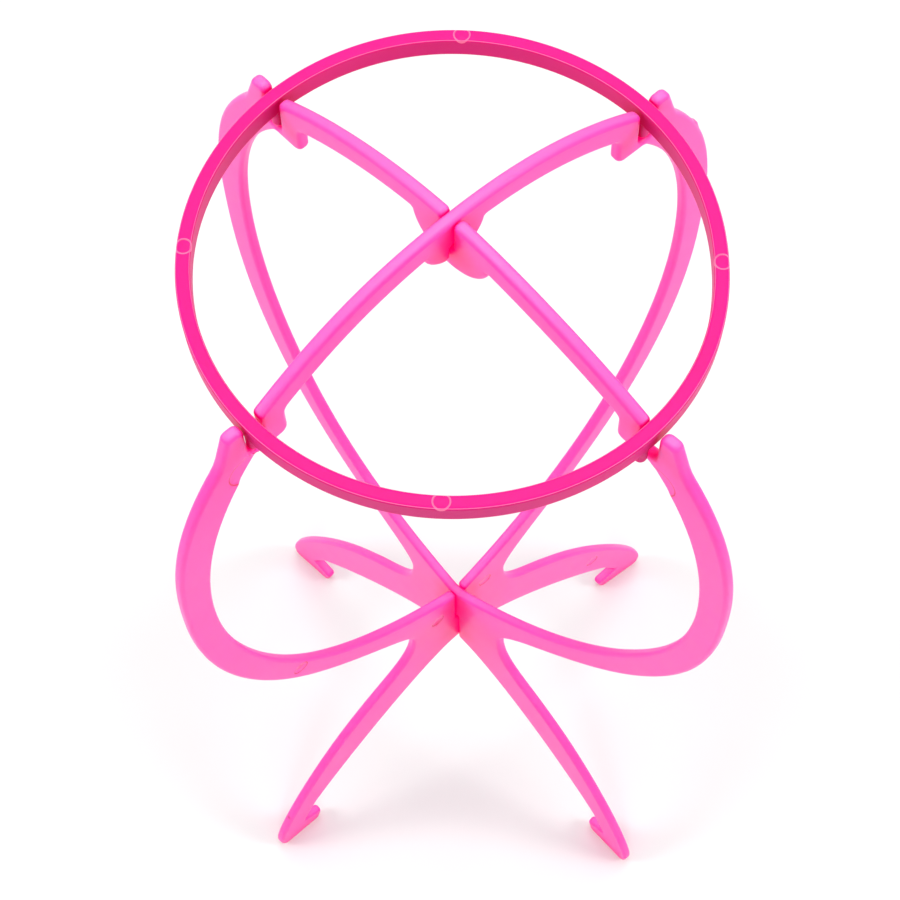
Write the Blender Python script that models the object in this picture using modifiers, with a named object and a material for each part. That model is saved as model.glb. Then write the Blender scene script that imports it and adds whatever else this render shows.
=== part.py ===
"""Take-apart stand for a wig or a hat, moulded in three pieces.

Two flat frames cross on the axis. Each is one moulding: a crown arch, two notched shoulders, two bowed arms,
a waist web and two legs with hooked feet. They slot into each other at the crown and at the waist, and a
loose ring lies in the four notches at their shoulders.

Metres, +Z up. The origin is on the axis, at the level of the soles.
"""

from math import acos, asin, cos, pi, radians, sin, tan

import bmesh
import bpy
from mathutils import Matrix, Vector
from mathutils.geometry import interpolate_bezier

# Plates
PLATE = 0.0033                  # thickness of both frames
RIM_ROUND = 0.0010              # rounding along every edge of a plate
FIT_GAP = 0.0003                # clearance wherever two pieces touch
CROSSING = radians(92.8)        # the slots are slack, and the frames stand a little off square

# Levels, each above the one before
WAIST_LEVEL = 0.1031            # narrowest place, above the soles
BELLY_RISE = 0.1403             # widest place of the arms
SEAT_RISE = 0.0817              # tops of the knobs, and of the ring
CROWN_RISE = 0.0159             # top of the crown

# Crown
ARCH_FALL = 0.0160              # the arch's ends lie this far below its top
ARCH_DEPTH = 0.0070
CROWN_SLOT_DEPTH = 0.0096       # from the top of the crown to the bottom of the inner frame's slot
OUTER_BOSS = 0.0080             # radius of the half-round boss below the outer frame's crown
OUTER_BOSS_DROP = 0.0069        # its centre, below the top of the crown
INNER_BOSS = 0.0115
INNER_BOSS_DROP = 0.0072
BOSS_FILLET = 0.0020            # where a boss runs out into the arch

# Ring
RING_RADIUS = 0.0607            # to the middle of its wall
RING_WALL = 0.0035
RING_HEIGHT = 0.0058
RING_ROUND = 0.0008
PEG_RADIUS = 0.0014
PEG_ROOT = 0.0020               # how far a peg reaches up into the ring

# Shoulders
PLAY_INSIDE = 0.0019            # between the ring and the end of the arch
PLAY_OUTSIDE = 0.0010           # between the ring and the knob
NOTCH_DEPTH = 0.0104            # below the tops of the knobs
NOTCH_ROUND = 0.0018
FLOOR_DEPTH = 0.0038            # material under a notch
GUSSET_WALL = 0.0057            # material on the inner side of a notch
ROOT_STEP = 0.0022              # from under the notch's outer wall in to the arm's inner edge
KNOB_WIDTH = 0.0039
KNOB_ROUND = 0.0019
NECK_DROP = 0.0064              # below the top of the knob, where the arm's outer edge starts
NECK_STEP = 0.0008              # and this far outside the knob

# Arms
BELLY_RADIUS = 0.0896
BELLY_WIDTH = 0.0083
WAIST_RADIUS = 0.0199
WEB_ABOVE = 0.0113              # height of the web above the waist level
WEB_BELOW = 0.0274              # and below it

# Legs and feet
KNEE_RADIUS = 0.0441
KNEE_LEVEL = 0.0690
TOE_RADIUS = 0.0870
TOE_LEVEL = 0.0068              # where the foot reaches furthest out
TIP_INSET = 0.0007              # from there in to the end of the sole
SOLE_LENGTH = 0.0180
TOE_ROUND = 0.0040
BARB_LEVEL = 0.0134             # top of the barb at the inner side of the foot
BARB_REACH = 0.0014             # how far it stands out beyond the ankle
BARB_ROUND = 0.0021
ANKLE_LEVEL = 0.0195            # where the leg's inner edge meets the barb
ANKLE_REACH = 0.0176            # from the outermost place of the toe in to there

# Sweeps of the outline: direction of the handle in degrees and its share of the chord, at both ends
SHOULDER = (-47, 0.356, 90, 0.236)      # from the neck out to the belly
FLANK = (-90, 0.627, 90, 0.116)         # from the belly in to the waist
THIGH = (-90, 0.436, 136, 0.452)        # from the waist out to the knee
SHIN = (-41, 0.334, 96, 0.074)          # from the knee to the toe
CALF = (114, 0.040, -8, 0.191)          # from the ankle back up to the web
ARMPIT = (-47.5, 0.299, 90, 0.394)      # inner side of the arm, from the notch to the belly
LAP = (-90, 0.235, 24, 0.485)           # inner side of the arm, from the belly to the web

# Small roundings of the outline
SLOT_ROUND = 0.0007
CORNER_ROUND = 0.0016
FILLET = 0.0030

FACET = 0.0065                  # spacing of the points along long curves
ARC_STEPS = 4                   # points round a right angle
RIM_STEPS = 2
RING_STEPS = 72
PEG_STEPS = 12
SHARP_ANGLE = radians(40)

belly_level = WAIST_LEVEL + BELLY_RISE
seat_level = belly_level + SEAT_RISE
crown_level = seat_level + CROWN_RISE
ring_inside = RING_RADIUS - RING_WALL / 2
ring_outside = RING_RADIUS + RING_WALL / 2
notch_in = ring_inside - PLAY_INSIDE
notch_out = ring_outside + PLAY_OUTSIDE
notch_floor = seat_level - NOTCH_DEPTH
# Half of the width that a plate takes up in the other one's slot when the two are off square
slot_half = PLATE / 2 * (1 + abs(cos(CROSSING))) / sin(CROSSING) + FIT_GAP
crown_slot_floor = crown_level - CROWN_SLOT_DEPTH
web_top = WAIST_LEVEL + WEB_ABOVE
web_bottom = WAIST_LEVEL - WEB_BELOW
web_middle = (web_top + web_bottom) / 2
# The crown is an arc through its top and the ends of the arch
arch_radius = (notch_in ** 2 + ARCH_FALL ** 2) / (2 * ARCH_FALL)
arch_centre = crown_level - arch_radius
underside_radius = arch_radius - ARCH_DEPTH
outer_azimuth = pi / 2 - CROSSING / 2
inner_azimuth = pi / 2 + CROSSING / 2


def at(radius, level):
    return Vector((radius, level))


def sweep(start, end, handles):
    """A Bezier stretch between two places."""
    start_angle, start_reach, end_angle, end_reach = handles
    chord = (end - start).length
    leave = Vector((cos(radians(start_angle)), sin(radians(start_angle)))) * start_reach * chord
    arrive = Vector((cos(radians(end_angle)), sin(radians(end_angle)))) * end_reach * chord
    count = max(4, round(chord / FACET) + 1)
    return interpolate_bezier(start, start + leave, end + arrive, end, count)


def arc(centre_level, radius, start, end):
    """Points on a circle centred on the axis, between two angles from the horizontal."""
    turn = abs(end - start)
    count = max(2, round(turn * radius / FACET), round(turn / (pi / 2) * ARC_STEPS))
    angles = [start + (end - start) * step / count for step in range(count + 1)]
    return [at(radius * cos(angle), centre_level + radius * sin(angle)) for angle in angles]


def cut_back(run, length):
    """The run without its first stretch of this length, which the rounding of a corner takes."""
    run = list(run)
    while len(run) > 2 and (run[1] - run[0]).length <= length:
        length -= (run[1] - run[0]).length
        run.pop(0)
    step = run[1] - run[0]
    return [run[0] + step * min(length / step.length, 0.95)] + run[1:]


def join(runs):
    """One line through the runs, each (points, radius of the corner at its far end)."""
    line = list(runs[0][0])
    for (_, radius), (points, _) in zip(runs, runs[1:]):
        if radius == 0:
            line += points[1:]
            continue
        corner = line[-1]
        turn = (corner - line[-2]).angle(points[1] - corner)
        cut = radius * tan(turn / 2)
        line = cut_back(line[::-1], cut)[::-1]
        rest = cut_back(points, cut)
        pull = 4 / 3 * tan(turn / 4) / tan(turn / 2)
        leave = line[-1] + (corner - line[-1]) * pull
        arrive = rest[0] + (corner - rest[0]) * pull
        count = max(3, round(turn / (pi / 2) * ARC_STEPS) + 1)
        line += interpolate_bezier(line[-1], leave, arrive, rest[0], count)[1:-1] + rest
    return line


def through(corners, *radii):
    """Straight runs from corner to corner, with the radius of the corner at the end of each."""
    return list(zip(zip(corners, corners[1:]), radii))


def mirrored(half):
    """The closed outline made of the right half and its mirror image, without doubled points."""
    whole = half + [at(-p.x, p.y) for p in reversed(half)]
    return [p for p, following in zip(whole, whole[1:] + whole[:1]) if (p - following).length > 1e-5]


def shoulder_runs(arch_end):
    """Down into the ring's notch, up again, over the knob and down its outer side to the neck."""
    knob_out = notch_out + KNOB_WIDTH
    neck = at(knob_out + NECK_STEP, seat_level - NECK_DROP)
    corners = (arch_end, at(notch_in, notch_floor), at(notch_out, notch_floor), at(notch_out, seat_level),
               at(knob_out, seat_level), neck)
    return through(corners, NOTCH_ROUND, NOTCH_ROUND, KNOB_ROUND, KNOB_ROUND, FILLET), neck


def foot_runs(toe):
    """Round the toe, along the sole and round the barb up to the ankle."""
    tip = toe - at(TIP_INSET, TOE_LEVEL)
    heel = tip - at(SOLE_LENGTH, 0)
    ankle = at(TOE_RADIUS - ANKLE_REACH, ANKLE_LEVEL)
    barb = at(ankle.x - BARB_REACH, BARB_LEVEL)
    return through((toe, tip, heel, barb, ankle), TOE_ROUND, BARB_ROUND, BARB_ROUND, CORNER_ROUND), ankle


def outer_edge(crown_slot, base_slot):
    """Outline of a frame. Its crown slot opens up, or its base slot down, where it has one."""
    arch_start = slot_half if crown_slot else 0
    arch = arc(arch_centre, arch_radius, acos(arch_start / arch_radius), acos(notch_in / arch_radius))
    shoulder, neck = shoulder_runs(arch[-1])
    belly = at(BELLY_RADIUS, belly_level)
    waist = at(WAIST_RADIUS, WAIST_LEVEL)
    knee = at(KNEE_RADIUS, KNEE_LEVEL)
    toe = at(TOE_RADIUS, TOE_LEVEL)
    foot, ankle = foot_runs(toe)
    web = at(slot_half, web_bottom)
    runs = [(arch, CORNER_ROUND)] + shoulder
    runs += [(sweep(neck, belly, SHOULDER), 0)]
    runs += [(sweep(belly, waist, FLANK), 0)]
    runs += [(sweep(waist, knee, THIGH), 0)]
    runs += [(sweep(knee, toe, SHIN), 0)] + foot
    runs += [(sweep(ankle, web, CALF), CORNER_ROUND if base_slot else 0)]
    if crown_slot:
        runs = slot_from_end(arch[0].y, crown_slot_floor) + runs
    runs += slot_to_end(web_bottom, base_slot) if base_slot else [((web, at(0, web_bottom)), 0)]
    return mirrored(join(runs))


def opening_edge(boss, boss_round, crown_slot, web_slot):
    """Outline of the big opening inside a frame, from the boss below the crown to the top of the web."""
    under = arc(arch_centre, underside_radius, acos(boss[-1].x / underside_radius),
                acos((notch_in - GUSSET_WALL) / underside_radius))
    gusset_foot = at(notch_in - GUSSET_WALL, notch_floor - FLOOR_DEPTH)
    arm_root = at(notch_out - ROOT_STEP, gusset_foot.y)
    belly = at(BELLY_RADIUS - BELLY_WIDTH, belly_level)
    web = at(slot_half, web_top)
    runs = [(boss, boss_round), (under, FILLET)]
    runs += through((under[-1], gusset_foot, arm_root), CORNER_ROUND, FILLET)
    runs += [(sweep(arm_root, belly, ARMPIT), 0)]
    runs += [(sweep(belly, web, LAP), CORNER_ROUND if web_slot else 0)]
    if crown_slot:
        runs = slot_from_end(boss[0].y, crown_slot) + runs
    runs += slot_to_end(web_top, web_slot) if web_slot else [((web, at(0, web_top)), 0)]
    return mirrored(join(runs))


def slot_from_end(mouth, end):
    """Half a slot's edge, from its end on the axis out to its mouth."""
    return through((at(0, end), at(slot_half, end), at(slot_half, mouth)), SLOT_ROUND, CORNER_ROUND)


def slot_to_end(mouth, end):
    """Half a slot's edge, from its mouth in to its end on the axis."""
    return through((at(slot_half, mouth), at(slot_half, end), at(0, end)), SLOT_ROUND, 0)


def boss_arc(radius, drop, start):
    """The half-round boss below a crown, from this far off the axis round to the arch's underside."""
    centre = crown_level - drop
    offset = arch_centre - centre
    meeting = (underside_radius ** 2 - radius ** 2 - offset ** 2) / (-2 * offset)
    return arc(centre, radius, -acos(start / radius), asin(meeting / radius))


def outer_frame(material):
    """The frame whose arch passes over the other: its crown slot opens down and its waist slot up."""
    boss = boss_arc(OUTER_BOSS, OUTER_BOSS_DROP, slot_half)
    edge = outer_edge(crown_slot=False, base_slot=None)
    opening = opening_edge(boss, BOSS_FILLET, crown_slot_floor + FIT_GAP, web_middle - FIT_GAP / 2)
    return plate("outer_frame", (edge, opening), outer_azimuth, material)


def inner_frame(material):
    """The frame that passes under: its crown slot opens up and its waist slot down."""
    boss = boss_arc(INNER_BOSS, INNER_BOSS_DROP, 0)
    edge = outer_edge(crown_slot=True, base_slot=web_middle + FIT_GAP / 2)
    opening = opening_edge(boss, BOSS_FILLET, None, None)
    return plate("inner_frame", (edge, opening), inner_azimuth, material)


def plate(name, outlines, azimuth, material):
    """A flat moulding with rounded edges: a filled 2D curve, stood upright through the axis."""
    curve = bpy.data.curves.new(name + "_outline", "CURVE")
    curve.dimensions = "2D"
    curve.fill_mode = "BOTH"
    curve.extrude = PLATE / 2 - RIM_ROUND
    curve.bevel_depth = RIM_ROUND
    curve.bevel_resolution = RIM_STEPS - 1
    curve.offset = -RIM_ROUND
    for points in outlines:
        spline = curve.splines.new("POLY")
        spline.points.add(len(points) - 1)
        spline.use_cyclic_u = True
        for target, source in zip(spline.points, points):
            target.co = (source.x, source.y, 0, 1)
    outline = bpy.data.objects.new(name + "_outline", curve)
    scene_root.objects.link(outline)
    outline.matrix_world = Matrix.Rotation(azimuth, 4, "Z") @ Matrix.Rotation(pi / 2, 4, "X")
    return closed_mesh(outline, name, material)


def closed_mesh(source, name, material):
    """The evaluated object as one closed mesh among the parts. The source is removed."""
    bpy.context.view_layer.update()
    evaluated = source.evaluated_get(bpy.context.evaluated_depsgraph_get())
    mesh = bpy.data.meshes.new_from_object(evaluated)
    mesh.name = name
    welded = bmesh.new()
    welded.from_mesh(mesh)
    bmesh.ops.remove_doubles(welded, verts=welded.verts, dist=1e-6)
    bmesh.ops.recalc_face_normals(welded, faces=welded.faces)
    welded.to_mesh(mesh)
    welded.free()
    mesh.shade_smooth()
    mesh.set_sharp_from_angle(angle=SHARP_ANGLE)
    mesh.materials.clear()
    mesh.materials.append(material)
    piece = bpy.data.objects.new(name, mesh)
    piece.matrix_world = source.matrix_world.copy()
    bpy.data.objects.remove(source)
    parts.objects.link(piece)
    return piece


def turned(name, profile, closed, steps, collection):
    """A profile (radius, height) turned about Z. It runs down its outer side."""
    mesh = bpy.data.meshes.new(name)
    count = len(profile)
    edges = [(index, (index + 1) % count) for index in range(count if closed else count - 1)]
    mesh.from_pydata([(p.x, 0, p.y) for p in profile], edges, [])
    piece = bpy.data.objects.new(name, mesh)
    collection.objects.link(piece)
    screw = piece.modifiers.new("turn", "SCREW")
    screw.steps = screw.render_steps = steps
    screw.use_merge_vertices = True
    screw.merge_threshold = 1e-5
    screw.use_smooth_shade = True
    return piece


def head_ring(material):
    """The loose ring, with a round-ended peg that hangs in each notch. Its origin is on its top."""
    corners = [at(ring_outside, -RING_HEIGHT / 2), at(ring_outside, -RING_HEIGHT), at(ring_inside, -RING_HEIGHT),
               at(ring_inside, 0), at(ring_outside, 0), at(ring_outside, -RING_HEIGHT / 2)]
    section = join(through(corners, RING_ROUND, RING_ROUND, RING_ROUND, RING_ROUND, 0))[:-1]
    ring = turned("head_ring", section, True, RING_STEPS, parts)
    ring.data.materials.append(material)
    ring.location.z = seat_level
    peg_top = PEG_ROOT - RING_HEIGHT
    peg_end = FIT_GAP - NOTCH_DEPTH
    tip = arc(peg_end + PEG_RADIUS, PEG_RADIUS, 0, -pi / 2)
    for azimuth in (outer_azimuth, inner_azimuth):
        for side in (0, pi):
            peg = turned("peg", [at(0, peg_top), at(PEG_RADIUS, peg_top)] + tip, False, PEG_STEPS, cutters)
            peg.location = Matrix.Rotation(azimuth + side, 3, "Z") @ Vector((RING_RADIUS, 0, seat_level))
            peg.hide_render = True
            peg.display_type = "WIRE"
            union = ring.modifiers.new("peg", "BOOLEAN")
            union.operation = "UNION"
            union.solver = "EXACT"
            union.object = peg
    return ring


def plastic(name, colour, roughness):
    material = bpy.data.materials.new(name)
    material.use_nodes = True
    shader = material.node_tree.nodes["Principled BSDF"]
    shader.inputs["Base Color"].default_value = (*colour, 1)
    shader.inputs["Roughness"].default_value = roughness
    shader.inputs["Metallic"].default_value = 0
    material.diffuse_color = (*colour, 1)
    return material


for leftover in list(bpy.data.objects):
    bpy.data.objects.remove(leftover, do_unlink=True)
scene_root = bpy.context.scene.collection
parts = bpy.data.collections.new("wig_stand")
cutters = bpy.data.collections.new("joined_shapes")
scene_root.children.link(parts)
scene_root.children.link(cutters)

outer_frame(plastic("pink_plastic", (1.0, 0.14, 0.48), 0.35))
inner_frame(plastic("pink_plastic_inner", (1.0, 0.14, 0.48), 0.35))
head_ring(plastic("rose_plastic", (0.92, 0.03, 0.25), 0.3))
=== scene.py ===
from math import acos, asin, atan2, cos, degrees, hypot, pi, radians, sin, tan

import bmesh
import bpy
import numpy as np
from mathutils import Matrix, Vector
from mathutils.geometry import delaunay_2d_cdt, interpolate_bezier


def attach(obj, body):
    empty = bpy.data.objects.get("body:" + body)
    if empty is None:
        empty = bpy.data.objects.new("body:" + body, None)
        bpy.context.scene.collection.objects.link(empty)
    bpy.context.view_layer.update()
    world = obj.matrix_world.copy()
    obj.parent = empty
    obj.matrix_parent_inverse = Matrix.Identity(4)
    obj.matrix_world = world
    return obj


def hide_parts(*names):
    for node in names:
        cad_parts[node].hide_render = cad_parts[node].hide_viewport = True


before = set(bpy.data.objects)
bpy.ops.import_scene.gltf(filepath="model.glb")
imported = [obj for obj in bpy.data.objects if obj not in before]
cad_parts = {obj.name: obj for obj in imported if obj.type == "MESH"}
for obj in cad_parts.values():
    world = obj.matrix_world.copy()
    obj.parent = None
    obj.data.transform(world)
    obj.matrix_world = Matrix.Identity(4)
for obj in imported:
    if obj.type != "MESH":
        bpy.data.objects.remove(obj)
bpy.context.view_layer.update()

# Camera, measured from the photograph: place, sight line and upper edge in the CAD's axes
CAMERA_PLACE = Vector((0.00912, -0.22094, 0.69311))
CAMERA_AHEAD = Vector((-0.02012, 0.42387, -0.90550))
CAMERA_UP = Vector((-0.02322, 0.90524, 0.42427))
FOCAL_PIXELS = 1900
PICTURE_PIXELS = 900
SENSOR_WIDTH = 36
CLIP_START = 0.01

# The part's measures that its CAD source has too, in metres
PLATE = 0.0033                  # thickness of the frames
FIT_GAP = 0.0003
CROSSING = radians(92.8)        # angle between the frames
WAIST_LEVEL = 0.1031
BELLY_LEVEL = 0.2434
SEAT_LEVEL = 0.3251             # tops of the knobs, and of the ring
CROWN_LEVEL = 0.3410
ARCH_FALL = 0.0160              # the arch's ends lie this far below its top
ARCH_DEPTH = 0.0070
ARCH_PLAY = 0.0019              # from the ring to where the arch's curve ends
CROWN_SLOT_DEPTH = 0.0096
RING_RADIUS = 0.0607            # to the middle of its wall
RING_WALL = 0.0035
RING_HEIGHT = 0.0058
RING_ROUND = 0.0008
PEG_ROOT = 0.0020               # how far a peg reaches up into the ring
NOTCH_ROUND = 0.0018
ROOT_STEP = 0.0022              # from under the notch's outer wall in to the arm's inner edge
KNOB_ROUND = 0.0019
BELLY_RADIUS = 0.0896
BELLY_WIDTH = 0.0083
WAIST_RADIUS = 0.0199
WEB_ABOVE = 0.0113              # height of the web above the waist level
WEB_BELOW = 0.0274              # and below it
KNEE_RADIUS = 0.0441
KNEE_LEVEL = 0.0690
TOE_RADIUS = 0.0870
TIP_INSET = 0.0007              # from the toe in to the end of the sole
ANKLE_LEVEL = 0.0195            # where the leg's inner edge meets the barb
ANKLE_REACH = 0.0176            # from the outermost place of the toe in to there
SLOT_ROUND = 0.0007
CORNER_ROUND = 0.0016
FILLET = 0.0030

# Measures that were read more closely in the photograph after the CAD source was settled
SLOT_LAP = 0.00004              # the slots close on the other plate by this much, so no gap shows
OUTER_BOSS = 0.0092             # radius of the half-round boss below the outer frame's crown
OUTER_BOSS_DROP = 0.0057        # its centre, below the top of the crown
INNER_BOSS = 0.0125
INNER_BOSS_DROP = 0.0056
BOSS_FILLET = 0.0004            # where a boss runs out into the arch
PEG_RADIUS = 0.0016
PEG_GAP = 0.0001                # between a peg's end and the floor of its notch
PLAY_INSIDE = 0.0008            # between the ring and the end of the arch
PLAY_OUTSIDE = 0.0002           # between the ring and the knob
NOTCH_DEPTH = 0.0119            # below the tops of the knobs
FLOOR_DEPTH = 0.0024            # material under a notch
GUSSET_WALL = 0.0068            # material on the inner side of a notch
GUSSET_ROUND = 0.0024
KNOB_WIDTH = 0.0046
NECK_DROP = 0.0107              # below the top of the knob, where the arm's outer edge starts
NECK_STEP = 0.0036              # and this far outside the knob
NECK_ROUND = 0.0140
TOE_LEVEL = 0.0048              # where the foot reaches furthest out
TOE_ROUND = 0.0030
SOLE_LENGTH = 0.0168
BARB_LEVEL = 0.0061             # top of the barb at the inner side of the foot
BARB_REACH = 0.0019             # how far it stands out beyond the ankle
BARB_ROUND = 0.0020
BARB_ROOT = 0.0057              # the end of the notch behind the barb, outside the ankle
BARB_ROOT_LEVEL = 0.0098
BARB_ROOT_ROUND = 0.0008

# Sweeps of the outline: direction of the handle in degrees and its share of the chord, at both ends
SHOULDER = (-50, 0.40, 90, 0.25)        # from the neck out to the belly
FLANK = (-90, 0.627, 90, 0.116)         # from the belly in to the waist
THIGH = (-90, 0.436, 136, 0.452)        # from the waist out to the knee
SHIN = (-41, 0.334, 93, 0.15)           # from the knee to the toe
CALF = (114, 0.040, -8, 0.191)          # from the ankle back up to the web
ARMPIT = (-47.5, 0.299, 90, 0.394)      # inner side of the arm, from the notch to the belly
LAP = (-90, 0.235, 24, 0.485)           # inner side of the arm, from the belly to the web

# How the real mouldings are sprung out of flat, read from the photograph, in millimetres. Each arm
# has a sideways and a radial offset at these angles round the middle of its bow. Its leg has a lean
# and an outward reach that grow outwards, given at the toe: (lean, lean by the square, reach). A
# sideways offset is positive to the left of the arm, seen from the axis.
BOW_ANGLES = (-90, -60, -30, 0, 30, 57, 75, 90)
BOW_CENTRE = 0.220
ARMS = {
    ("outer", 1): ((0, 0.10, -0.08, -0.40, -0.76, -0.57, 0.18, 0),
                   (0, 0.06, 0.09, 0.30, -0.08, -0.27, -0.34, 0), (1.36, -5.66, 2.69)),
    ("outer", -1): ((0, -0.26, -0.10, -0.77, -0.41, 1.27, 0.33, 0),
                    (0, -0.19, -0.49, -0.03, -0.33, 0.05, 0.10, 0), (-3.54, 1.34, -1.02)),
    ("inner", 1): ((0, -0.32, -1.15, -1.56, -1.94, -1.54, -0.65, 0),
                   (0, 0.11, 0.02, 0.13, 1.17, 0.41, -1.01, 0), (-0.29, 2.16, 0.72)),
    ("inner", -1): ((0, 3.73, 4.70, 4.50, 3.60, 0.76, -0.54, 0),
                    (0, -1.41, -1.54, 0.66, 1.20, 1.30, 1.00, 0), (4.32, -4.43, 0.40)),
}
LEG_TOP = 0.085                 # below this level a frame follows its legs' lean, and
LEG_BLEND = 0.035               # from this far above it its arms' bow
MILLIMETRE = 0.001

# How far the ring is out of round: radial offset in millimetres at these azimuths in degrees
RING_AZIMUTHS = (-180, -110, -90, -70, -50, -35, -20, 0, 25, 60, 100, 135, 180)
RING_OFFSETS = (0, 0, 0.10, 0.25, 0.50, 0.65, 0.50, -0.20, -0.30, -0.30, 0, -0.20, 0)

# Marks of the mould's ejector pins: size, wall and depth, and where they are on the front and the
# back face of each frame as (radius, level)
PIN = (0.0024, 0.0003, 0.00010)
PAD = (0.0052, 0.0004, 0.00035)
FAINT_PAD = (0.0052, 0.0006, 0.00015)
MARKS = {
    "outer": ([(-0.0629, 0.1627, *PIN), (0.0109, 0.1069, *PIN), (0.0621, 0.0393, *PIN),
               (-0.0098, 0.1053, *PIN), (-0.0641, 0.3077, *PAD)], []),
    "inner": ([], [(-0.0640, 0.3050, *FAINT_PAD)]),
}
OUTLINE = 0.0004                # width of the fine line round a mark

# Stubs of the gates on the frames' edges: (radius, level, rise outwards, rise upwards)
NUBS = {
    "outer": [(0.0805, 0.3000, 0.0007, 0.0006)],
    "inner": [(-0.0640, 0.1768, 0.0002, 0.0008)],
}
NUB_REACH = 0.0015

# Pegs below the ring, and the round dishes that the mould left on its top
RING_PEGS = [radians(azimuth) for azimuth in (43.1, 135.2, 225.1, 313.9)]
RING_MARKS = [radians(-0.5 + 90 * turn) for turn in range(4)]
MARK_RADIUS = 0.0019
MARK_WALL = 0.0001
MARK_DEPTH = 0.00008
MARK_CLEAR = 0.0005             # how far the tool that cuts a dish stands above the ring

# Fineness of the dressed mouldings
RIM_ROUND = 0.0012              # rounding along both rims of a plate
RIM_STEPS = 5
FACET = 0.0016                  # spacing of the points along an outline
ARC_STEPS = 10                  # points round a right angle
SWEEP_POINTS = 4                # fewest points of a sweep
CORNER_POINTS = 3               # fewest points of a rounded corner
GRID = 0.0030                   # spacing of the points on a face
EDGE_CLEAR = 0.0005             # they keep this far from its edge
MARK_SPACE = 2                  # and this many wall widths from the edge of a mark
MARK_ANGLES = [turn * pi / 24 for turn in range(48)]    # points round a mark
RING_STEPS = 240
PEG_STEPS = 24
DISH_STEPS = 40
RING_SHARP = radians(40)
FLAT_WEIGHT = 100               # how much a face's area counts in the normals
LARGEST_CUT = 0.95              # share of a stretch that a rounded corner may take
SHARPEST = 0.5                  # smallest cosine that an inset corner is moved by
SAME_PLACE = 1e-5               # points of an outline this near to each other are one
SAME_POINT = 1e-6               # and so are points of a turned mesh
TRIANGLE_LIMIT = 1e-8
ON_AXIS = 1e-9                  # keeps the angle defined on the axis

# Colours: PINK for the frames, ROSE for the ring
PINK = (1.0, 0.065, 0.41)
PINK_DEEP = (0.99, 0.058, 0.39)
# Painted shade, deep red, where the frames' walls face each other in crevices
PINK_CREVICE_SHADE = (1.0, 0.0, 0.24)
# Painted highlights: lighter colours for the frames' rounded edges and level faces
PINK_EDGE_HIGHLIGHT = (1.0, 0.115, 0.47)
PINK_LEVEL_HIGHLIGHT = (1.0, 0.15, 0.50)
PINK_SCATTER = (1.0, 0.2, 0.4)
ROSE = (0.88, 0.011, 0.235)
ROSE_DEEP = (0.84, 0.009, 0.215)
# Painted shade where the ring's walls face each other in crevices
ROSE_CREVICE_SHADE = (0.45, 0.0, 0.07)
# Painted shade on the ring's walls and slopes, and a painted highlight along its top edges
ROSE_WALL_SHADE = (0.58, 0.012, 0.16)
ROSE_SLOPE_SHADE = (0.66, 0.010, 0.20)
ROSE_EDGE_HIGHLIGHT = (1.0, 0.22, 0.42)
ROSE_SCATTER = (1.0, 0.12, 0.3)
# Colour of the painted glow in deep corners
PAINTED_GLOW = (1.0, 0.0, 0.20)
RED = (0.80, 0.0, 0.13)
DARK = (0.10, 0.0, 0.02)
# Painted shade where the frames cross
CROSSING_SHADE = (0.80, 0.0, 0.21)
FLASH = (1.0, 0.62, 0.80)
# Painted shade: a dark line round each mark on the frames; painted highlight: a pale line round
# each mark on the ring
PINK_MARK_SHADE = (0.90, (0.70, 0.0, 0.08))   # share and colour of the line round a mark
ROSE_MARK_HIGHLIGHT = (0.60, (1.0, 0.26, 0.42))

# Painted light and shade by the direction a surface faces: (height of the normal, share, colour)
PINK_LIGHT_BY_FACING = ((0.0, 0.0, PINK), (0.62, 0.0, PINK), (0.90, 1.0, PINK_EDGE_HIGHLIGHT), (1.0, 1.0, PINK_LEVEL_HIGHLIGHT))
ROSE_LIGHT_BY_FACING = ((0.0, 1.0, ROSE_WALL_SHADE), (0.45, 1.0, ROSE_WALL_SHADE), (0.62, 1.0, ROSE_SLOPE_SHADE),
               (0.69, 1.0, ROSE_EDGE_HIGHLIGHT), (0.73, 1.0, ROSE_EDGE_HIGHLIGHT), (0.82, 0.0, ROSE), (1.0, 0.0, ROSE))

# Values of the plastic's textures
FLOW = {"Scale": 26, "Detail": 3, "Roughness": 0.55}
FLOW_DEEP = 0.3                 # where on the flow the tone is the deep one
FLOW_FULL = 0.7                 # and where it is the plain colour
GRAIN = {"Scale": 900, "Detail": 2}
GRAIN_BUMP = {"Strength": 0.05, "Distance": 0.0002}
WAVE = {"Scale": 60, "Detail": 1}
WAVE_BUMP = {"Strength": 0.25, "Distance": 0.0006}
# Ambient occlusion that places the painted shade of crevices and the painted glow of deep corners
CREVICE = 0.012                 # how far a crevice looks for its other wall
CREVICE_SAMPLES = 12
CREVICE_FADE = {"From Min": 0.45, "From Max": 0.86}
# Where the painted glow of deep corners fades out
PAINTED_GLOW_FADE = {"From Min": 0.10, "From Max": 0.58}
SPOT_CORE = 3                   # a soft spot has its full strength within a third of its radius
SMOOTHER = -0.05                # how far the roughness changes along the flow
ROUGHER = 0.06
PLASTIC_IOR = 1.49

# Studio
FLOOR_REACH = 6
FLOOR_NEAR = (0.725, 0.740, 0.735)
FLOOR_FAR = (0.98, 0.98, 0.98)
FLOOR_FADE = {"From Min": 0.35, "From Max": 1.60}
FLOOR_ROUGHNESS = 0.9
WORLD_STRENGTH = 0.8
# Name, place, target, size and watts of each lamp
LAMPS = (("overhead", (0.05, 0.45, 1.7), (0, 0, 0.15), 0.9, 8),
         ("left", (-1.0, -0.1, 0.8), (0, 0, 0.15), 0.5, 5.5),
         ("right", (1.0, -0.1, 0.8), (0, 0, 0.15), 0.5, 5.5),
         ("glint", (0.0, -1.15, 0.95), (0, 0, 0.25), 0.3, 2.5))

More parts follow.
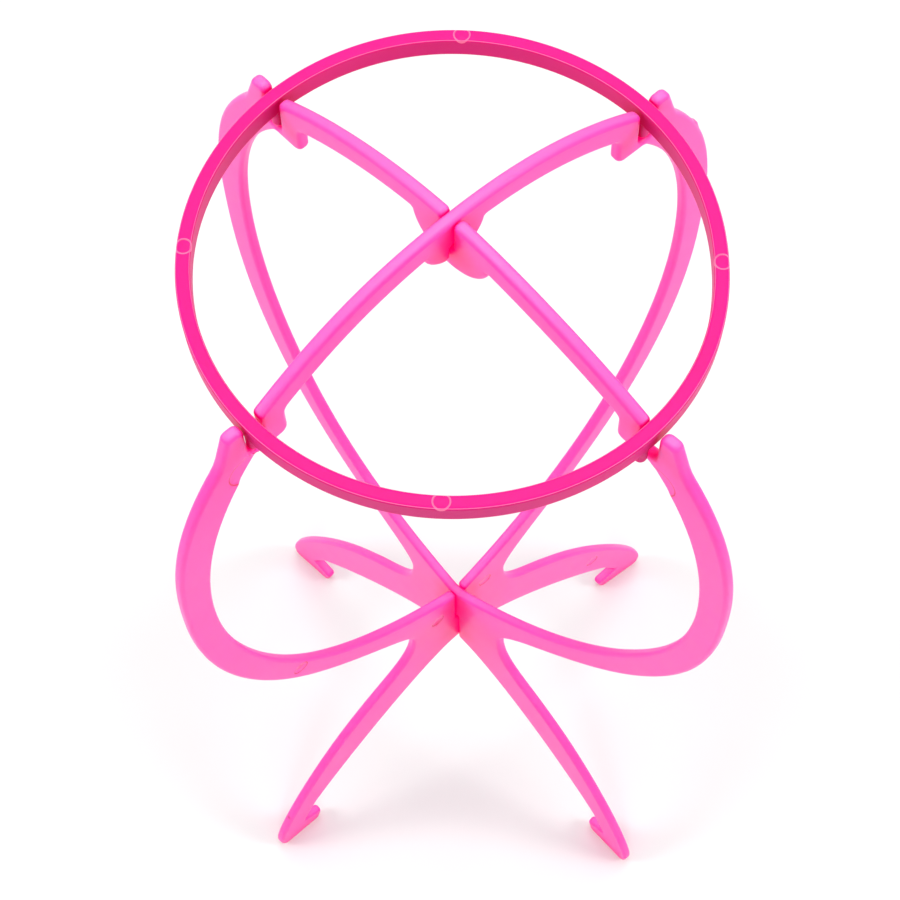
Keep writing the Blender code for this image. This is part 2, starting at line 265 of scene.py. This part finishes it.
ring_inside = RING_RADIUS - RING_WALL / 2
ring_outside = RING_RADIUS + RING_WALL / 2
notch_in = ring_inside - PLAY_INSIDE
notch_out = ring_outside + PLAY_OUTSIDE
notch_floor = SEAT_LEVEL - NOTCH_DEPTH
slot_half = PLATE / 2 * (1 + abs(cos(CROSSING))) / sin(CROSSING) - SLOT_LAP
crown_slot_floor = CROWN_LEVEL - CROWN_SLOT_DEPTH
web_top = WAIST_LEVEL + WEB_ABOVE
web_bottom = WAIST_LEVEL - WEB_BELOW
web_middle = (web_top + web_bottom) / 2
arch_radius = ((ring_inside - ARCH_PLAY) ** 2 + ARCH_FALL ** 2) / (2 * ARCH_FALL)
arch_centre = CROWN_LEVEL - arch_radius
underside_radius = arch_radius - ARCH_DEPTH
azimuths = {"outer": pi / 2 - CROSSING / 2, "inner": pi / 2 + CROSSING / 2}
front, back = PLATE / 2, -PLATE / 2


def at(radius, level):
    return Vector((radius, level))


def sweep(start, end, handles):
    """A Bezier stretch between two places."""
    start_angle, start_reach, end_angle, end_reach = handles
    chord = (end - start).length
    leave = Vector((cos(radians(start_angle)), sin(radians(start_angle)))) * start_reach * chord
    arrive = Vector((cos(radians(end_angle)), sin(radians(end_angle)))) * end_reach * chord
    count = max(SWEEP_POINTS, round(chord / FACET) + 1)
    return interpolate_bezier(start, start + leave, end + arrive, end, count)


def arc(centre_level, radius, start, end):
    """Points on a circle centred on the axis, between two angles from the horizontal."""
    turn = abs(end - start)
    count = max(2, round(turn * radius / FACET), round(turn / (pi / 2) * ARC_STEPS))
    angles = [start + (end - start) * step / count for step in range(count + 1)]
    return [at(radius * cos(angle), centre_level + radius * sin(angle)) for angle in angles]


def cut_back(run, length):
    """The run without its first stretch of this length, which the rounding of a corner takes."""
    run = list(run)
    while len(run) > 2 and (run[1] - run[0]).length <= length:
        length -= (run[1] - run[0]).length
        run.pop(0)
    step = run[1] - run[0]
    return [run[0] + step * min(length / step.length, LARGEST_CUT)] + run[1:]


def join(runs):
    """One line through the runs, each (points, radius of the corner at its far end)."""
    line = list(runs[0][0])
    for (_, radius), (points, _) in zip(runs, runs[1:]):
        if radius == 0:
            line += points[1:]
            continue
        corner = line[-1]
        turn = (corner - line[-2]).angle(points[1] - corner)
        cut = radius * tan(turn / 2)
        line = cut_back(line[::-1], cut)[::-1]
        rest = cut_back(points, cut)
        # Handles that make the Bezier stretch a part of a circle
        pull = 4 / 3 * tan(turn / 4) / tan(turn / 2)
        leave = line[-1] + (corner - line[-1]) * pull
        arrive = rest[0] + (corner - rest[0]) * pull
        count = max(CORNER_POINTS, round(turn / (pi / 2) * ARC_STEPS) + 1)
        line += interpolate_bezier(line[-1], leave, arrive, rest[0], count)[1:-1] + rest
    return line


def through(corners, *radii):
    """Straight runs from corner to corner, with the radius of the corner at the end of each."""
    return list(zip(zip(corners, corners[1:]), radii))


def mirrored(half):
    """The closed outline made of the right half and its mirror image, at an even spacing."""
    whole = half + [at(-p.x, p.y) for p in reversed(half)]
    whole = [p for p, following in zip(whole, whole[1:] + whole[:1])
             if (p - following).length > SAME_PLACE]
    line = []
    for p, following in zip(whole, whole[1:] + whole[:1]):
        count = max(1, round((following - p).length / FACET))
        line += [p.lerp(following, step / count) for step in range(count)]
    return line


def shoulder_runs(arch_end):
    """Down into the ring's notch, up again, over the knob and down its outer side to the neck."""
    knob_out = notch_out + KNOB_WIDTH
    neck = at(knob_out + NECK_STEP, SEAT_LEVEL - NECK_DROP)
    corners = (arch_end, at(notch_in, notch_floor), at(notch_out, notch_floor),
               at(notch_out, SEAT_LEVEL), at(knob_out, SEAT_LEVEL), neck)
    return through(corners, NOTCH_ROUND, NOTCH_ROUND, KNOB_ROUND, KNOB_ROUND, NECK_ROUND), neck


def foot_runs(toe):
    """Round the toe, along the sole and round the barb up to the ankle."""
    tip = toe - at(TIP_INSET, TOE_LEVEL)
    heel = tip - at(SOLE_LENGTH, 0)
    ankle = at(TOE_RADIUS - ANKLE_REACH, ANKLE_LEVEL)
    barb = at(ankle.x - BARB_REACH, BARB_LEVEL)
    root = at(ankle.x + BARB_ROOT, BARB_ROOT_LEVEL)
    corners = (toe, tip, heel, barb, root, ankle)
    return through(corners, TOE_ROUND, BARB_ROUND, BARB_ROUND, BARB_ROOT_ROUND, CORNER_ROUND), ankle


def slot_from_end(mouth, end):
    """Half a slot's edge, from its end on the axis out to its mouth."""
    corners = (at(0, end), at(slot_half, end), at(slot_half, mouth))
    return through(corners, SLOT_ROUND, CORNER_ROUND)


def slot_to_end(mouth, end):
    """Half a slot's edge, from its mouth in to its end on the axis."""
    return through((at(slot_half, mouth), at(slot_half, end), at(0, end)), SLOT_ROUND, 0)


def outer_edge(crown_slot, base_slot):
    """Outline of a frame. Its crown slot opens up, or its base slot down, where it has one."""
    arch_start = slot_half if crown_slot else 0
    arch = arc(arch_centre, arch_radius, acos(arch_start / arch_radius),
               acos(notch_in / arch_radius))
    shoulder, neck = shoulder_runs(arch[-1])
    belly = at(BELLY_RADIUS, BELLY_LEVEL)
    waist = at(WAIST_RADIUS, WAIST_LEVEL)
    knee = at(KNEE_RADIUS, KNEE_LEVEL)
    toe = at(TOE_RADIUS, TOE_LEVEL)
    foot, ankle = foot_runs(toe)
    web = at(slot_half, web_bottom)
    runs = [(arch, CORNER_ROUND)] + shoulder
    runs += [(sweep(neck, belly, SHOULDER), 0)]
    runs += [(sweep(belly, waist, FLANK), 0)]
    runs += [(sweep(waist, knee, THIGH), 0)]
    runs += [(sweep(knee, toe, SHIN), 0)] + foot
    runs += [(sweep(ankle, web, CALF), CORNER_ROUND if base_slot else 0)]
    if crown_slot:
        runs = slot_from_end(arch[0].y, crown_slot_floor) + runs
    runs += slot_to_end(web_bottom, base_slot) if base_slot else [((web, at(0, web_bottom)), 0)]
    return mirrored(join(runs))


def opening_edge(boss, crown_slot, web_slot):
    """Outline of the big opening in a frame, from the boss below the crown to the web's top."""
    under = arc(arch_centre, underside_radius, acos(boss[-1].x / underside_radius),
                acos((notch_in - GUSSET_WALL) / underside_radius))
    gusset_foot = at(notch_in - GUSSET_WALL, notch_floor - FLOOR_DEPTH)
    arm_root = at(notch_out - ROOT_STEP, gusset_foot.y)
    belly = at(BELLY_RADIUS - BELLY_WIDTH, BELLY_LEVEL)
    web = at(slot_half, web_top)
    runs = [(boss, BOSS_FILLET), (under, FILLET)]
    runs += through((under[-1], gusset_foot, arm_root), GUSSET_ROUND, FILLET)
    runs += [(sweep(arm_root, belly, ARMPIT), 0)]
    runs += [(sweep(belly, web, LAP), CORNER_ROUND if web_slot else 0)]
    if crown_slot:
        runs = slot_from_end(boss[0].y, crown_slot) + runs
    runs += slot_to_end(web_top, web_slot) if web_slot else [((web, at(0, web_top)), 0)]
    return mirrored(join(runs))


def boss_arc(radius, drop, start):
    """The half-round boss below a crown, from this far off the axis to the arch's underside."""
    centre = CROWN_LEVEL - drop
    offset = arch_centre - centre
    meeting = (underside_radius ** 2 - radius ** 2 - offset ** 2) / (-2 * offset)
    return arc(centre, radius, -acos(start / radius), asin(meeting / radius))


def material_on_left(points):
    """The outline turned anticlockwise, as a frame's outer edge runs."""
    area = sum(a.x * b.y - b.x * a.y for a, b in zip(points, points[1:] + points[:1]))
    return points if area > 0 else points[::-1]


def smooth_step(value):
    value = min(max(value, 0), 1)
    return value * value * (3 - 2 * value)


def natural_spline(knots, values):
    """Smooth curve through the values, straight at both ends, as a function."""
    x = np.array(knots, float)
    y = np.array(values, float)
    step = np.diff(x)
    slope = np.diff(y) / step
    system = np.eye(len(x))
    right = np.zeros(len(x))
    for row in range(1, len(x) - 1):
        system[row, row - 1:row + 2] = step[row - 1], 2 * (step[row - 1] + step[row]), step[row]
        right[row] = 6 * (slope[row] - slope[row - 1])
    bend = np.linalg.solve(system, right)

    def value_at(place):
        index = min(max(int(np.searchsorted(x, place)) - 1, 0), len(step) - 1)
        width, left, right = step[index], place - x[index], x[index + 1] - place
        return ((bend[index] * right ** 3 + bend[index + 1] * left ** 3) / (6 * width)
                + (y[index] / width - bend[index] * width / 6) * right
                + (y[index + 1] / width - bend[index + 1] * width / 6) * left)
    return value_at


ring_offset = natural_spline(RING_AZIMUTHS, RING_OFFSETS)
bows = {arm: (natural_spline(BOW_ANGLES, out), natural_spline(BOW_ANGLES, away), leg)
        for arm, (out, away, leg) in ARMS.items()}


def sprung(family, radius, level):
    """Sideways and radial offset of a place of a frame, in metres."""
    side = 1 if radius >= 0 else -1
    out, away, (lean, more_lean, reach) = bows[family, side]
    angle = degrees(atan2(level - BOW_CENTRE, abs(radius) + ON_AXIS))
    upper = smooth_step((level - LEG_TOP) / LEG_BLEND)
    share = abs(radius) / TOE_RADIUS
    sideways = upper * out(angle) + (1 - upper) * (lean * share + more_lean * share ** 2)
    outwards = upper * away(angle) + (1 - upper) * reach * share ** 2
    return side * sideways * MILLIMETRE, side * outwards * MILLIMETRE


def on_frame(family, radius, level, height):
    """Where a place of a frame lies, this far in front of the middle of its plate."""
    azimuth = azimuths[family]
    along = Vector((cos(azimuth), sin(azimuth), 0))
    across = Vector((-sin(azimuth), cos(azimuth), 0))
    sideways, outwards = sprung(family, radius, level)
    return along * (radius + outwards) + across * (sideways - height) + Vector((0, 0, level))


def on_ring(azimuth, level):
    return Vector((RING_RADIUS * cos(azimuth), RING_RADIUS * sin(azimuth), level))


def inset_loop(outline, reach):
    """The outline moved into the material by this much. The material lies on its left."""
    points = np.array([(p.x, p.y) for p in outline])
    ahead = np.roll(points, -1, axis=0) - points
    ahead /= np.linalg.norm(ahead, axis=1)[:, None]
    both = ahead + np.roll(ahead, 1, axis=0)
    normals = np.stack((-both[:, 1], both[:, 0]), axis=1)
    normals /= np.linalg.norm(normals, axis=1)[:, None]
    cosine = (normals * np.stack((-ahead[:, 1], ahead[:, 0]), axis=1)).sum(axis=1)
    return points + normals * (reach / np.clip(cosine, SHARPEST, 1))[:, None]


def inside(points, loops):
    """Which points lie in the material between the loops."""
    crossed = np.zeros(len(points), int)
    x, y = points[:, 0], points[:, 1]
    for loop in loops:
        for start, end in zip(loop, np.roll(loop, -1, axis=0)):
            if start[1] == end[1]:
                continue
            between = (y > min(start[1], end[1])) & (y <= max(start[1], end[1]))
            place = start[0] + (y - start[1]) / (end[1] - start[1]) * (end[0] - start[0])
            crossed += between & (place > x)
    return crossed % 2 == 1


def cap_mesh(loops, marks):
    """A flat face between the loops: its inner points, on a grid and round the marks, and its
    triangles, whose corners count through the loops first and then through the inner points."""
    edge = np.concatenate(loops)
    low, high = edge.min(axis=0), edge.max(axis=0)
    extra = np.array([(x, y) for x in np.arange(low[0], high[0], GRID)
                      for y in np.arange(low[1], high[1], GRID)])
    circles = []
    for radius, level, size, wall, _ in marks:
        distance = np.hypot(extra[:, 0] - radius, extra[:, 1] - level)
        extra = extra[np.abs(distance - size) > MARK_SPACE * wall]
        for reach in (size - wall, size):
            circles += [(radius + reach * cos(angle), level + reach * sin(angle))
                        for angle in MARK_ANGLES]
    if circles:
        extra = np.concatenate((extra, np.array(circles)))
    extra = extra[inside(extra, loops)]
    nearest = np.array([np.hypot(*(edge - point).T).min() for point in extra])
    extra = extra[nearest > EDGE_CLEAR]
    points = [Vector(point) for point in np.concatenate((edge, extra))]
    edges = []
    first = 0
    for loop in loops:
        edges += [(first + index, first + (index + 1) % len(loop)) for index in range(len(loop))]
        first += len(loop)
    made, _, faces, origin, _, _ = delaunay_2d_cdt(points, edges, [], 0, TRIANGLE_LIMIT, True)
    source = {index: ids[0] for index, ids in enumerate(origin) if ids}
    centres = np.array([sum((made[corner] for corner in face), Vector((0, 0))) / 3
                        for face in faces])
    triangles = [tuple(source[corner] for corner in face)
                 for face, kept in zip(faces, inside(centres, loops)) if kept]
    return [tuple(point) for point in extra], triangles


def rim_section():
    """Inset and height of each step round a plate's rim, from its front face to its back."""
    profile = []
    for step in range(RIM_STEPS + 1):
        angle = pi / 2 * step / RIM_STEPS
        profile.append((RIM_ROUND * (1 - cos(angle)), front - RIM_ROUND + RIM_ROUND * sin(angle)))
    return profile[::-1] + [(inset, -height) for inset, height in profile]


def flat_plate(outlines, marks):
    """Places (radius, level, height) and faces of a flat plate with rounded rims."""
    verts = []
    faces = []
    section = rim_section()
    rings = [[inset_loop(outline, inset) for outline in outlines] for inset, _ in section]
    starts = []
    for (_, height), loops in zip(section, rings):
        starts.append(len(verts))
        for loop in loops:
            verts += [(x, z, height) for x, z in loop]
    for upper, lower in zip(starts, starts[1:]):
        first = 0
        for outline in outlines:
            size = len(outline)
            for index in range(size):
                following = (index + 1) % size
                faces.append((upper + first + index, lower + first + index,
                              lower + first + following, upper + first + following))
            first += size
    boundary = sum(len(outline) for outline in outlines)
    for face_marks, height, start in zip(marks, (front, back), (starts[0], starts[-1])):
        extra, triangles = cap_mesh(rings[0], face_marks)
        base = len(verts)
        verts += [(x, z, height) for x, z in extra]
        for triangle in triangles:
            corners = tuple(start + corner if corner < boundary else base + corner - boundary
                            for corner in triangle)
            faces.append(corners if height > 0 else corners[::-1])
    return verts, faces


def moulding(name, family, outlines, material):
    """A frame as it came out of its mould: rounded rims, shallow marks on its faces, the stubs of
    its gates, and sprung out of flat."""
    verts, faces = flat_plate(outlines, MARKS[family])
    skin = front - RIM_ROUND / 2
    placed = []
    for radius, level, height in verts:
        for mark_radius, mark_level, size, wall, depth in MARKS[family][0 if height > 0 else 1]:
            distance = hypot(radius - mark_radius, level - mark_level)
            if abs(height) > skin and distance < size - wall / 2:
                height -= depth if height > 0 else -depth
        for nub_radius, nub_level, rise_out, rise_up in NUBS[family]:
            near = 1 - hypot(radius - nub_radius, level - nub_level) / NUB_REACH
            if near > 0 and abs(height) < skin:
                radius, level = radius + rise_out * near, level + rise_up * near
        placed.append(on_frame(family, radius, level, height))
    mesh = bpy.data.meshes.new(name)
    mesh.from_pydata(placed, [], faces)
    mesh.materials.append(material)
    return finished(name, mesh)


def linked(name, mesh, merge=None):
    """The mesh as a smooth object with its faces outwards, and points within merge joined."""
    solid = bmesh.new()
    solid.from_mesh(mesh)
    if merge:
        bmesh.ops.remove_doubles(solid, verts=solid.verts, dist=merge)
    bmesh.ops.recalc_face_normals(solid, faces=solid.faces)
    solid.to_mesh(mesh)
    solid.free()
    mesh.shade_smooth()
    piece = bpy.data.objects.new(name, mesh)
    bpy.context.scene.collection.objects.link(piece)
    return piece


def finished(name, mesh):
    """The mesh as a smooth object whose flat faces stay flat."""
    piece = linked(name, mesh)
    weighted = piece.modifiers.new("flat faces", "WEIGHTED_NORMAL")
    weighted.weight = FLAT_WEIGHT
    weighted.mode = "FACE_AREA"
    return piece


def turned(name, profile, closed, steps):
    """A profile (radius, height) turned about Z."""
    verts = []
    faces = []
    for step in range(steps):
        angle = 2 * pi * step / steps
        verts += [(p.x * cos(angle), p.x * sin(angle), p.y) for p in profile]
    count = len(profile)
    for step in range(steps):
        here, there = step * count, (step + 1) % steps * count
        for index in range(count if closed else count - 1):
            following = (index + 1) % count
            faces.append((here + index, here + following, there + following, there + index))
    mesh = bpy.data.meshes.new(name)
    mesh.from_pydata(verts, [], faces)
    return linked(name, mesh, SAME_POINT)


def head_ring(material):
    """The loose ring with its four pegs, and the round marks that the mould left on its top."""
    corners = [at(ring_outside, -RING_HEIGHT / 2), at(ring_outside, -RING_HEIGHT),
               at(ring_inside, -RING_HEIGHT), at(ring_inside, 0), at(ring_outside, 0),
               at(ring_outside, -RING_HEIGHT / 2)]
    section = join(through(corners, RING_ROUND, RING_ROUND, RING_ROUND, RING_ROUND, 0))[:-1]
    ring = turned("head_ring_moulding", section, True, RING_STEPS)
    peg_top = PEG_ROOT - RING_HEIGHT
    peg_end = PEG_GAP - NOTCH_DEPTH
    peg = [at(0, peg_top), at(PEG_RADIUS, peg_top)]
    peg += arc(peg_end + PEG_RADIUS, PEG_RADIUS, 0, -pi / 2)
    dish = [at(0, -MARK_DEPTH), at(MARK_RADIUS - MARK_WALL, -MARK_DEPTH),
            at(MARK_RADIUS, MARK_CLEAR), at(0, MARK_CLEAR)]
    tools = []
    for name, profile, steps, places, operation in (
            ("peg", peg, PEG_STEPS, RING_PEGS, "UNION"),
            ("dish", dish, DISH_STEPS, RING_MARKS, "DIFFERENCE")):
        for azimuth in places:
            tool = turned(name, profile, False, steps)
            tool.location = on_ring(azimuth, 0)
            tools.append(tool)
            change = ring.modifiers.new("joined", "BOOLEAN")
            change.operation = operation
            change.solver = "EXACT"
            change.object = tool
    bpy.context.view_layer.update()
    depsgraph = bpy.context.evaluated_depsgraph_get()
    mesh = bpy.data.meshes.new_from_object(ring.evaluated_get(depsgraph))
    for made in (*tools, ring):
        bpy.data.objects.remove(made)
    mesh.transform(Matrix.Translation((0, 0, SEAT_LEVEL)))
    for vertex in mesh.vertices:
        x, y, _ = vertex.co
        grown = 1 + ring_offset(degrees(atan2(y, x))) * MILLIMETRE / hypot(x, y)
        vertex.co.x, vertex.co.y = x * grown, y * grown
    mesh.materials.clear()
    mesh.materials.append(material)
    piece = finished("head_ring_moulding", mesh)
    mesh.set_sharp_from_angle(angle=RING_SHARP)
    piece.modifiers[0].keep_sharp = True
    return piece


def node(tree, kind, values=None, **settings):
    """A new node with these settings, and with these values on its inputs."""
    made = tree.nodes.new(kind)
    for name, value in settings.items():
        setattr(made, name, value)
    for socket, value in (values or {}).items():
        made.inputs[socket].default_value = value
    return made


def noise(tree, place, values):
    made = node(tree, "ShaderNodeTexNoise", values)
    tree.links.new(place, made.inputs["Vector"])
    return made.outputs["Fac"]


def ramp(tree, source, stops):
    """A colour ramp through the stops, each (position, colour)."""
    made = node(tree, "ShaderNodeValToRGB")
    elements = made.color_ramp.elements
    while len(elements) < len(stops):
        elements.new(0.5)
    for index, (position, colour) in enumerate(stops):
        elements[index].position = position
        elements[index].color = (*colour, 1)
    tree.links.new(source, made.inputs["Fac"])
    return made.outputs["Color"]


def mapped(tree, source, values, **settings):
    """The source's value, carried from one range to another."""
    made = node(tree, "ShaderNodeMapRange", values, **settings)
    tree.links.new(source, made.inputs["Value"])
    return made.outputs["Result"]


def mixed(tree, share, under, over):
    """Two colours mixed by this share of the second. Each is a socket or a plain colour."""
    made = node(tree, "ShaderNodeMix", data_type="RGBA")
    tree.links.new(share, made.inputs["Factor"])
    for name, colour in (("A", under), ("B", over)):
        if isinstance(colour, tuple):
            made.inputs[name].default_value = (*colour, 1)
        else:
            tree.links.new(colour, made.inputs[name])
    return made.outputs["Result"]


def distance_to(tree, place, centre):
    made = node(tree, "ShaderNodeVectorMath", {1: centre}, operation="DISTANCE")
    tree.links.new(place, made.inputs[0])
    return made.outputs["Value"]


def bump(tree, height, values):
    made = node(tree, "ShaderNodeBump", values)
    tree.links.new(height, made.inputs["Height"])
    return made


def moulded_plastic(name, colour, deep, crevice_shade, light_by_facing, outlines, spots, shine_and_glow, roughness, glow,
                    scatter, depth):
    """Satin injection-moulded plastic that light gets a little way into.

    The painted light and shade by direction holds (height of the normal, share, colour). outlines
    and spots hold (place, radius, share, colour).
    """
    material = bpy.data.materials.new(name)
    material.use_nodes = True
    tree = material.node_tree
    shader = tree.nodes["Principled BSDF"]
    link = tree.links.new
    place = node(tree, "ShaderNodeTexCoord").outputs["Object"]

    # Flow of the melt: slow, faint changes of tone
    flow = noise(tree, place, FLOW)
    painted = ramp(tree, flow, ((FLOW_DEEP, deep), (FLOW_FULL, colour)))
    # Painted light and shade by the normal's direction: lighter level faces and rounded edges,
    # darker walls
    direction = node(tree, "ShaderNodeSeparateXYZ")
    link(node(tree, "ShaderNodeNewGeometry").outputs["Normal"], direction.inputs["Vector"])
    upward = direction.outputs["Z"]
    light_shares = ramp(tree, upward, [(height, (share,) * 3) for height, share, _ in light_by_facing])
    light_tints = ramp(tree, upward, [(height, tint) for height, _, tint in light_by_facing])
    painted = mixed(tree, light_shares, painted, light_tints)
    # Painted shade and highlight: a fine line round each mark of the mould, dark on the frames and
    # pale on the ring, along the wall of its shallow dish
    for centre, radius, strength, tint in outlines:
        band = node(tree, "ShaderNodeMath", {1: radius, 2: OUTLINE / 2}, operation="COMPARE")
        link(distance_to(tree, place, centre), band.inputs[0])
        share = node(tree, "ShaderNodeMath", {1: strength}, operation="MULTIPLY")
        link(band.outputs["Value"], share.inputs[0])
        painted = mixed(tree, share.outputs["Value"], painted, tint)
    # Red spots, specks and painted shade, each a soft spot
    for centre, radius, strength, tint in spots:
        fade = {"From Min": radius / SPOT_CORE, "From Max": radius,
                "To Min": strength, "To Max": 0}
        share = mapped(tree, distance_to(tree, place, centre), fade,
                       interpolation_type="SMOOTHSTEP")
        painted = mixed(tree, share, painted, tint)
    # Painted shade: where ambient occlusion finds walls facing each other, the base colour turns
    # deep red, standing in for light that has passed through the plastic
    enclosed = node(tree, "ShaderNodeAmbientOcclusion", {"Distance": CREVICE},
                    samples=CREVICE_SAMPLES).outputs["AO"]
    openness = mapped(tree, enclosed, CREVICE_FADE, interpolation_type="SMOOTHSTEP")
    link(mixed(tree, openness, crevice_shade, painted), shader.inputs["Base Color"])
    # Painted glow: deep corners give off light through the emission, standing in for the light that
    # their walls pass each other through the plastic
    glow_strength = mapped(tree, enclosed, {**PAINTED_GLOW_FADE, "To Min": shine_and_glow, "To Max": 0})
    shader.inputs["Emission Color"].default_value = (*PAINTED_GLOW, 1)
    link(glow_strength, shader.inputs["Emission Strength"])

    # Satin texture of the mould
    relief = bump(tree, noise(tree, place, GRAIN), GRAIN_BUMP)
    hollows = bump(tree, noise(tree, place, WAVE), WAVE_BUMP)
    link(relief.outputs["Normal"], hollows.inputs["Normal"])
    link(hollows.outputs["Normal"], shader.inputs["Normal"])
    rough = mapped(tree, flow, {"To Min": roughness + SMOOTHER, "To Max": roughness + ROUGHER})
    link(rough, shader.inputs["Roughness"])

    shader.subsurface_method = "RANDOM_WALK"
    shader.inputs["Subsurface Weight"].default_value = glow
    shader.inputs["Subsurface Radius"].default_value = scatter
    shader.inputs["Subsurface Scale"].default_value = depth
    shader.inputs["IOR"].default_value = PLASTIC_IOR
    shader.inputs["Specular IOR Level"].default_value = shine_and_glow
    return material


def area_light(name, place, target, size, watts):
    lamp = bpy.data.lights.new(name, "AREA")
    lamp.shape = "DISK"
    lamp.size = size
    lamp.energy = watts
    light = bpy.data.objects.new(name, lamp)
    light.location = place
    aim = Vector(target) - Vector(place)
    light.rotation_euler = aim.to_track_quat("-Z", "Y").to_euler()
    bpy.context.scene.collection.objects.link(light)


outlines = [(on_frame(family, radius, level, height), size, *PINK_MARK_SHADE)
            for family, faces in MARKS.items() for face, height in zip(faces, (front, back))
            for radius, level, size, _, _ in face]
# Dark specks, soft red spots, painted shade where the frames cross, and a white fleck of flash
spots = [(on_frame("outer", -0.0816, 0.0223, 0), 0.0018, 1.0, DARK),
         (on_frame("outer", -0.0872, 0.0030, 0.0010), 0.0015, 0.50, DARK),
         (on_frame("outer", -0.0463, 0.3333, 0), 0.0022, 0.35, RED),
         (on_frame("outer", -0.0629, 0.1640, front), 0.0022, 0.5, RED),
         (on_frame("inner", -0.0892, 0.2717, back), 0.0016, 0.6, RED),
         (on_frame("outer", -0.0098, 0.1035, front), 0.0030, 0.5, RED),
         *((Vector((0, 0, level)), 0.0110, 0.60, CROSSING_SHADE) for level in (0.108, 0.097, 0.086)),
         (Vector((0, 0, 0.329)), 0.0105, 0.40, CROSSING_SHADE),
         (on_frame("inner", 0.0695, 0.2008, back), 0.0013, 0.50, FLASH)]
ring_outlines = [(on_ring(azimuth, SEAT_LEVEL), MARK_RADIUS, *ROSE_MARK_HIGHLIGHT) for azimuth in RING_MARKS]
# Each plastic's shine also sets the strength of the painted glow in its deep corners
pink = moulded_plastic("pink_satin", PINK, PINK_DEEP, PINK_CREVICE_SHADE, PINK_LIGHT_BY_FACING, outlines, spots,
                       shine_and_glow=0.22, roughness=0.32, glow=0.7, scatter=PINK_SCATTER, depth=0.003)
rose = moulded_plastic("rose_satin", ROSE, ROSE_DEEP, ROSE_CREVICE_SHADE, ROSE_LIGHT_BY_FACING, ring_outlines, [],
                       shine_and_glow=0.10, roughness=0.40, glow=0.5, scatter=ROSE_SCATTER, depth=0.002)

# The outer frame's slots open down at the crown and up at the waist. The inner frame's are the
# other way up.
outer_boss = boss_arc(OUTER_BOSS, OUTER_BOSS_DROP, slot_half)
inner_boss = boss_arc(INNER_BOSS, INNER_BOSS_DROP, 0)
edges = {
    "outer": (outer_edge(crown_slot=False, base_slot=None),
              opening_edge(outer_boss, crown_slot_floor + FIT_GAP, web_middle - FIT_GAP / 2)),
    "inner": (outer_edge(crown_slot=True, base_slot=web_middle + FIT_GAP / 2),
              opening_edge(inner_boss, None, None)),
}
for name, family in (("outer_frame", "outer"), ("inner_frame", "inner")):
    rim, opening = edges[family]
    lines = (material_on_left(rim), material_on_left(opening)[::-1])
    piece = moulding(name + "_moulding", family, lines, pink)
    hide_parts(name)
    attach(piece, "stand")
ring = head_ring(rose)
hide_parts("head_ring")
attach(ring, "ring")

# Plain floor, pale below the stand, where it holds the contact shadows, and whiter farther out
floor_mesh = bpy.data.meshes.new("floor")
corners = [(x * FLOOR_REACH, y * FLOOR_REACH, 0) for x, y in ((-1, -1), (1, -1), (1, 1), (-1, 1))]
floor_mesh.from_pydata(corners, [], [(0, 1, 2, 3)])
floor = bpy.data.objects.new("floor", floor_mesh)
bpy.context.scene.collection.objects.link(floor)
paper = bpy.data.materials.new("paper")
paper.use_nodes = True
tree = paper.node_tree
surface = tree.nodes["Principled BSDF"]
reach = node(tree, "ShaderNodeVectorMath", operation="LENGTH")
tree.links.new(node(tree, "ShaderNodeTexCoord").outputs["Object"], reach.inputs[0])
fade = mapped(tree, reach.outputs["Value"], FLOOR_FADE, interpolation_type="SMOOTHSTEP")
tree.links.new(mixed(tree, fade, FLOOR_NEAR, FLOOR_FAR), surface.inputs["Base Color"])
surface.inputs["Roughness"].default_value = FLOOR_ROUGHNESS
floor_mesh.materials.append(paper)

world = bpy.data.worlds.new("studio")
world.use_nodes = True
bpy.context.scene.world = world
background = world.node_tree.nodes["Background"]
background.inputs["Color"].default_value = (1, 1, 1, 1)
background.inputs["Strength"].default_value = WORLD_STRENGTH
for lamp in LAMPS:
    area_light(*lamp)

lens = bpy.data.cameras.new("camera")
lens.sensor_width = SENSOR_WIDTH
lens.lens = FOCAL_PIXELS / PICTURE_PIXELS * SENSOR_WIDTH
lens.clip_start = CLIP_START
camera = bpy.data.objects.new("camera", lens)
side = CAMERA_AHEAD.cross(CAMERA_UP).normalized()
upright = side.cross(CAMERA_AHEAD).normalized()
turn = Matrix((side, upright, -CAMERA_AHEAD)).transposed()
camera.matrix_world = Matrix.Translation(CAMERA_PLACE) @ turn.to_4x4()
bpy.context.scene.collection.objects.link(camera)
bpy.context.scene.camera = camera
bpy.context.scene.view_settings.view_transform = "Standard"
